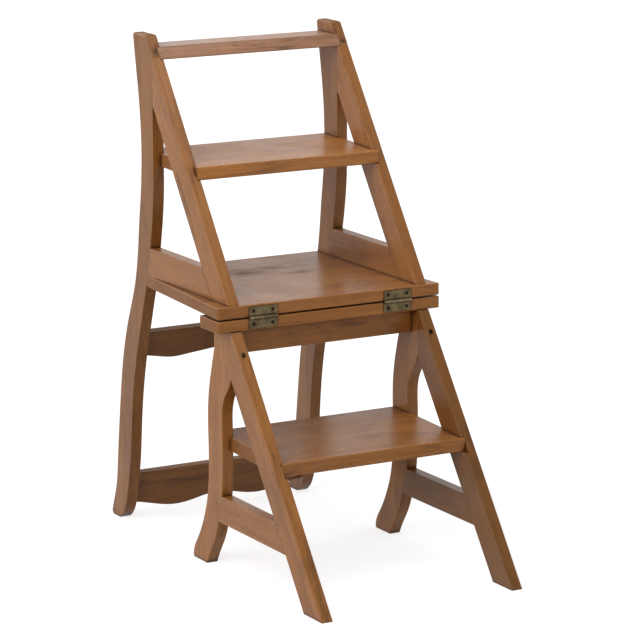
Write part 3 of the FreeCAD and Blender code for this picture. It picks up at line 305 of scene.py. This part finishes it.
def make_wood(name, turn, seed, tone, warm, pith, knots):
    """Varnished wood whose grain runs along one axis of the turned piece."""
    material, tree, shader = new_material(name)
    spot = new_node(tree, "TexCoord")
    placed = new_node(tree, "Mapping", {
        "Vector": spot.outputs["Object"],
        "Rotation": turn,
        "Location": (SEED_STEP * seed, *pith),
    })
    grain = grain_of(tree, placed.outputs[0])
    colour = grain_colour(tree, grain, tone, warm)

    # End grain drinks more varnish, so it is darker
    end_grain = end_grain_of(tree, spot.outputs["Normal"], turn)
    colour = mix_of(tree, times(tree, end_grain, END_GRAIN_SHARE), colour,
                    tinted(WOOD_UMBER, tone, warm))

    wobble = range_of(tree, grain["flames"], *MID_NOISE, -KNOT_WOBBLE, KNOT_WOBBLE, False)
    rough = range_of(tree, grain["clouds"], *MID_NOISE, *VARNISH_ROUGH)
    for knot in knots:
        mark = knot_of(tree, spot.outputs["Object"], knot, wobble)
        colour = mix_of(tree, mark, colour, WOOD_KNOT)
        rough = plus(tree, rough, times(tree, mark, KNOT_ROUGH))

    edge, rounded = edge_of(tree, WOOD_EDGE)
    # Lighter edges: partly worn varnish, partly a painted highlight where the edges catch the
    # light
    wear_and_highlight = times(tree, edge, range_of(tree, grain["clouds"], *WOOD_WEAR_AND_HIGHLIGHT))
    colour = mix_of(tree, wear_and_highlight, colour, tinted(WOOD_WORN_AND_HIGHLIT, tone, warm))
    # Painted shade: darker towards WOOD_DARK in joints, gaps and under boards and hinge leaves,
    # where the pieces around close a point in
    darkened_in_corners = times(tree, crevice_of(tree, WOOD_CREVICE), WOOD_PAINTED_SHADE)
    feed(tree, shader.inputs["Base Color"], mix_of(tree, darkened_in_corners, colour, WOOD_DARK))

    rough = plus(tree, rough, times(tree, grain["pores"], PORE_ROUGH))
    rough = plus(tree, rough, times(tree, wear_and_highlight, WEAR_ROUGH))
    rough = plus(tree, rough, times(tree, end_grain, END_GRAIN_ROUGH))
    feed(tree, shader.inputs["Roughness"], rough)
    relief = math_of(tree, "SUBTRACT", times(tree, grain["fibre"], FIBRE_RELIEF),
                     grain["pores"])
    relief = plus(tree, relief, times(tree, grain["late"], LATE_RELIEF))
    feed(tree, shader.inputs["Normal"], bump_of(tree, relief, rounded, *WOOD_BUMP))
    shader.inputs["Specular IOR Level"].default_value = VARNISH_GLOSS
    return material


# Metal

# Y from which the knuckles' reach forward is measured, and where the painted highlight on their
# front starts
HINGE_BACK = -0.0785
HIGHLIGHT_FRONT = (0.0029, 0.0035)
# Pale brass of the painted highlight on the knuckles' front
HIGHLIGHT_BRASS = (0.56, 0.47, 0.32)
# Start, full, from strength, to strength over the clouds
HIGHLIGHT_STRENGTH = (0.40, 0.60, 0.70, 0.15)
HIGHLIGHT_SMOOTH = 0.15
METAL_CLOUDS = (4.0, 0.6)
METAL_FINE = (3.0, 0.6)
FINE_TIMES = 9.0
BRUSH_STRETCH = (120.0, 900.0, 2600.0)
BRUSH_DETAIL = 2.0
BRUSH_RELIEF = 0.5
METAL_EDGE = 0.0005
METAL_EDGE_SHARE = 0.45
METAL_EDGE_WEAR_AND_HIGHLIGHT = 1.7
TARNISH_RANGE = (0.35, 0.68)
METAL_CORNER_SHARE = 0.8
METAL_CORNER_DARK = 0.25
# Taken from and added to the polish, as roughness
POLISH_LESS = 0.08
POLISH_MORE = 0.12
METAL_BUMP = (0.3, 0.0001)
METALNESS = 0.85


def knuckle_highlight_of(tree, position):
    """The front of the knuckles, where a thin highlight is painted, from 0 to 1."""
    parts = new_node(tree, "SeparateXYZ", {0: position})
    ahead = math_of(tree, "SUBTRACT", HINGE_BACK, parts.outputs["Y"])
    return range_of(tree, ahead, *HIGHLIGHT_FRONT)


def make_metal(name, base, tarnish, polish, scale, corner_reach):
    """Old cast or turned metal with tarnish, darker corners, edges lighter from wear and painted
    highlight, and a painted highlight on the knuckles' front.
    """
    material, tree, shader = new_material(name)
    spot = new_node(tree, "TexCoord").outputs["Object"]
    clouds = noise_of(tree, spot, scale, *METAL_CLOUDS)
    fine = noise_of(tree, spot, scale * FINE_TIMES, *METAL_FINE)
    brushed = noise_of(tree, stretch_of(tree, spot, BRUSH_STRETCH), 1.0, BRUSH_DETAIL)
    edge, rounded = edge_of(tree, METAL_EDGE)
    colour = mix_of(tree, range_of(tree, clouds, *TARNISH_RANGE), base, tarnish)
    # Painted highlight: a thin line of pale brass along the front of the knuckles, also a little
    # smoother
    painted_highlight = times(tree, knuckle_highlight_of(tree, spot), range_of(tree, clouds, *HIGHLIGHT_STRENGTH))
    colour = mix_of(tree, painted_highlight, colour, HIGHLIGHT_BRASS)
    # Lighter edges: partly rubbed brass, partly a painted highlight along the edges
    worn_and_highlit = tuple(min(1.0, METAL_EDGE_WEAR_AND_HIGHLIGHT * part) for part in base)
    colour = mix_of(tree, times(tree, edge, METAL_EDGE_SHARE), colour, worn_and_highlit)
    # Darker towards a dark tarnish where the pieces around close a point in
    darkened_in_corners = times(tree, crevice_of(tree, corner_reach), METAL_CORNER_SHARE)
    colour = mix_of(tree, darkened_in_corners, colour, tuple(METAL_CORNER_DARK * part for part in tarnish))
    feed(tree, shader.inputs["Base Color"], colour)
    rough = range_of(tree, fine, *MID_NOISE, polish - POLISH_LESS, polish + POLISH_MORE)
    rough = math_of(tree, "SUBTRACT", rough, times(tree, painted_highlight, HIGHLIGHT_SMOOTH))
    feed(tree, shader.inputs["Roughness"], rough)
    relief = plus(tree, fine, times(tree, brushed, BRUSH_RELIEF))
    feed(tree, shader.inputs["Normal"], bump_of(tree, relief, rounded, *METAL_BUMP))
    shader.inputs["Metallic"].default_value = METALNESS
    return material


# Which material each node has

UPRIGHT = (0.0, math.radians(90), 0.0)
CROSSWISE = (0.0, 0.0, 0.0)
LENGTHWISE = (0.0, 0.0, math.radians(-90))


def sloping(back, up):
    """The turn that lays a slope, given by its run back and its rise, along the grain."""
    return (math.atan2(back, up), math.radians(90), 0.0)


UPPER_SLOPE = sloping(0.276, 0.391)
LOWER_SLOPE = sloping(0.313, 0.428)

# Middle, reach along the three axes, strength
SEAT_KNOTS = (
    ((-0.0415, 0.172, 0.473), (0.046, 0.034, 0.02), 0.74),
    ((0.0263, 0.186, 0.473), (0.034, 0.022, 0.02), 0.56),
    ((0.0540, 0.128, 0.473), (0.032, 0.016, 0.02), 0.60),
)
LEFT_TOP_KNOTS = (
    ((-0.1861, 0.2131, 0.8718), (0.0075, 0.010, 0.0110), 0.95),
    ((-0.1800, 0.2180, 0.8790), (0.0060, 0.010, 0.0070), 0.90),
)
RIGHT_TOP_KNOTS = (
    ((0.1770, 0.2135, 0.8740), (0.0070, 0.010, 0.0085), 0.95),
    ((0.1880, 0.2071, 0.8680), (0.0080, 0.010, 0.0060), 0.95),
    ((0.1790, 0.2189, 0.8850), (0.0062, 0.010, 0.0080), 0.90),
)

# Node, turn, seed, tone, warmth, place of the pith across the grain, knots
WOODS = (
    ("left_back_post", UPRIGHT, 1, 0.80, 0.3, (0.03, 0.11), LEFT_TOP_KNOTS),
    ("right_back_post", UPRIGHT, 2, 0.84, 0.0, (-0.05, 0.13), RIGHT_TOP_KNOTS),
    ("left_upper_diagonal", UPPER_SLOPE, 3, 1.08, 0.0, (0.05, 0.09), ()),
    ("right_upper_diagonal", UPPER_SLOPE, 4, 0.94, 0.3, (-0.02, 0.12), ()),
    ("left_front_leg", UPRIGHT, 5, 1.0, 0.0, (0.04, 0.12), ()),
    ("right_front_leg", UPRIGHT, 6, 0.90, 0.2, (-0.03, 0.12), ()),
    ("left_lower_diagonal", LOWER_SLOPE, 7, 0.96, 0.0, (0.05, 0.10), ()),
    ("right_lower_diagonal", LOWER_SLOPE, 8, 0.53, 1.0, (0.03, 0.12), ()),
    ("left_upper_side_rail", LENGTHWISE, 9, 1.04, 0.2, (0.05, 0.10), ()),
    ("right_upper_side_rail", LENGTHWISE, 10, 0.88, 0.2, (0.04, 0.12), ()),
    ("left_lower_side_rail", LENGTHWISE, 11, 1.0, 0.1, (0.04, 0.12), ()),
    ("right_lower_side_rail", LENGTHWISE, 12, 0.58, 0.6, (0.04, 0.12), ()),
    ("rear_seat_board", CROSSWISE, 13, 1.02, 0.05, (-0.06, -0.36), SEAT_KNOTS),
    ("front_seat_board", CROSSWISE, 14, 1.10, 0.20, (0.05, -0.33), ()),
    ("upper_step", CROSSWISE, 15, 1.25, -0.3, (0.10, -0.58), ()),
    ("lower_step", CROSSWISE, 16, 1.00, 0.0, (0.12, -0.13), ()),
    ("top_step", CROSSWISE, 17, 1.16, -4.6, (0.16, -0.80), ()),
    ("front_apron", CROSSWISE, 18, 0.92, 0.35, (0.10, -0.30), ()),
    ("back_mid_rail", CROSSWISE, 19, 0.57, 0.2, (-0.20, -0.20), ()),
    ("crest_rail", CROSSWISE, 20, 0.70, 0.0, (-0.20, 0.10), ()),
)

DOWEL_WOOD = ("dowel_beech", CROSSWISE, 30, 1.35, -0.2, (0.2, -0.2), ())

# End of the nodes' names: material, colour, tarnish, polish, scale of the clouds, reach of the
# darkening in corners
METALS = {
    "hinge_leaf": ("old_brass", (0.150, 0.108, 0.052), (0.074, 0.054, 0.027), 0.38, 70.0, 0.004),
    "hinge_pin": ("pin_brass", (0.50, 0.42, 0.27), (0.20, 0.17, 0.10), 0.26, 90.0, 0.0015),
    "screws": ("dark_screw", (0.034, 0.023, 0.014), (0.014, 0.010, 0.007), 0.5, 160.0, 0.0015),
}


def finish_wood():
    for name, *recipe in WOODS:
        dress(nodes[name], make_wood("varnished_" + name, *recipe))


def finish_small_parts():
    finishes = {ending: make_metal(*recipe) for ending, recipe in METALS.items()}
    finishes["dowels"] = make_wood(*DOWEL_WOOD)
    for name, piece in nodes.items():
        for ending, material in finishes.items():
            if name.endswith(ending):
                dress(piece, material)


# Stage

FLOOR_HALF = 30.0
FLOOR_GRAIN = 220.0
FLOOR_GRAIN_DETAIL = 2.0
FLOOR_SHADE = (0.49, 0.51)
FLOOR_ROUGH = (0.9, 1.0)
FLOOR_GLOSS = 0.1
FLOOR_LIFT = 0.72
SKY_LEVEL = 0.36

# The place and turn that the photograph's edges gave, in metres and degrees
CAMERA_PLACE = (-2.8110, -4.9688, 1.6652)
CAMERA_HEADING = 29.687
CAMERA_DOWN = 12.352
# The lens and the sensor, in millimetres
CAMERA_LENS = 188.83
SENSOR_WIDTH = 36.0
# Nothing further away than this is drawn, in metres
CAMERA_END = 100.0


def add_to_scene(piece):
    bpy.context.scene.collection.objects.link(piece)
    return piece


def flat_mesh(name, corners):
    mesh = bpy.data.meshes.new(name)
    mesh.from_pydata(corners, [], [tuple(range(len(corners)))])
    return add_to_scene(bpy.data.objects.new(name, mesh))


def seen_directly(tree):
    """1 for rays from the camera, from gloss and through glass, and 0 for the others."""
    path = new_node(tree, "LightPath")
    seen = math_of(tree, "MAXIMUM", path.outputs["Is Camera Ray"], path.outputs["Is Glossy Ray"])
    return math_of(tree, "MAXIMUM", seen, path.outputs["Is Transmission Ray"])


def make_floor():
    half = FLOOR_HALF
    floor = flat_mesh("floor", [(-half, -half, 0), (half, -half, 0), (half, half, 0),
                                (-half, half, 0)])
    material, tree, shader = new_material("pale_floor")
    spot = new_node(tree, "TexCoord").outputs["Object"]
    grain = noise_of(tree, spot, FLOOR_GRAIN, FLOOR_GRAIN_DETAIL)
    shade = range_of(tree, grain, *MID_NOISE, *FLOOR_SHADE)
    feed(tree, shader.inputs["Base Color"], grey_of(tree, shade))
    feed(tree, shader.inputs["Roughness"], range_of(tree, grain, *MID_NOISE, *FLOOR_ROUGH))
    shader.inputs["Specular IOR Level"].default_value = FLOOR_GLOSS
    feed(tree, shader.inputs["Emission Color"], WHITE)
    lift = times(tree, seen_directly(tree), FLOOR_LIFT)
    feed(tree, shader.inputs["Emission Strength"], lift)
    dress(floor, material)


def make_world():
    """A white sky, full for direct looks and dimmer as a light."""
    world = bpy.data.worlds.new("studio")
    bpy.context.scene.world = world
    world.use_nodes = True
    tree = world.node_tree
    sky = tree.nodes["Background"]
    strength = new_node(tree, "MapRange", {0: seen_directly(tree), 3: SKY_LEVEL, 4: 1.0})
    feed(tree, sky.inputs["Color"], WHITE)
    feed(tree, sky.inputs["Strength"], strength.outputs[0])


def make_near_lamp(name, place, aim, size, power):
    """A square soft lamp at a place, turned to a point."""
    lamp = bpy.data.lights.new(name, "AREA")
    lamp.shape = "SQUARE"
    lamp.size = size
    lamp.energy = power
    piece = add_to_scene(bpy.data.objects.new(name, lamp))
    piece.location = place
    piece.rotation_euler = (Vector(place) - Vector(aim)).to_track_quat("Z", "Y").to_euler()


def make_far_lamp(name, towards, width, strength):
    """A far soft lamp in a direction from the object, as wide as an angle in degrees."""
    lamp = bpy.data.lights.new(name, "SUN")
    lamp.angle = math.radians(width)
    lamp.energy = strength
    piece = add_to_scene(bpy.data.objects.new(name, lamp))
    piece.rotation_euler = Vector(towards).to_track_quat("Z", "Y").to_euler()


def make_camera():
    """The camera at the place that the photograph's edges gave."""
    camera = bpy.data.cameras.new("camera")
    camera.sensor_width = SENSOR_WIDTH
    camera.lens = CAMERA_LENS
    camera.clip_end = CAMERA_END
    piece = add_to_scene(bpy.data.objects.new("camera", camera))
    heading = math.radians(CAMERA_HEADING)
    down = math.radians(CAMERA_DOWN)
    turn = Matrix.Rotation(-heading, 4, "Z") @ Matrix.Rotation(math.pi / 2 - down, 4, "X")
    piece.matrix_world = Matrix.Translation(CAMERA_PLACE) @ turn
    bpy.context.scene.camera = piece


finish_wood()
finish_small_parts()
make_floor()
make_world()
make_far_lamp("key", towards=(-0.80, -0.25, 0.55), width=60.0, strength=1.80)
make_near_lamp("front", place=(-1.3, -2.4, 1.2), aim=(0.0, 0.0, 0.5), size=1.2, power=6.5)
make_near_lamp("top", place=(0.3, -0.6, 2.4), aim=(0.0, 0.0, 0.6), size=0.9, power=7.0)
make_far_lamp("right_fill", towards=(1.0, 0.15, 0.30), width=40.0, strength=0.6)
make_far_lamp("back_fill", towards=(-0.3, 1.0, 0.30), width=40.0, strength=0.5)
make_camera()
bpy.context.scene.view_settings.view_transform = "Standard"
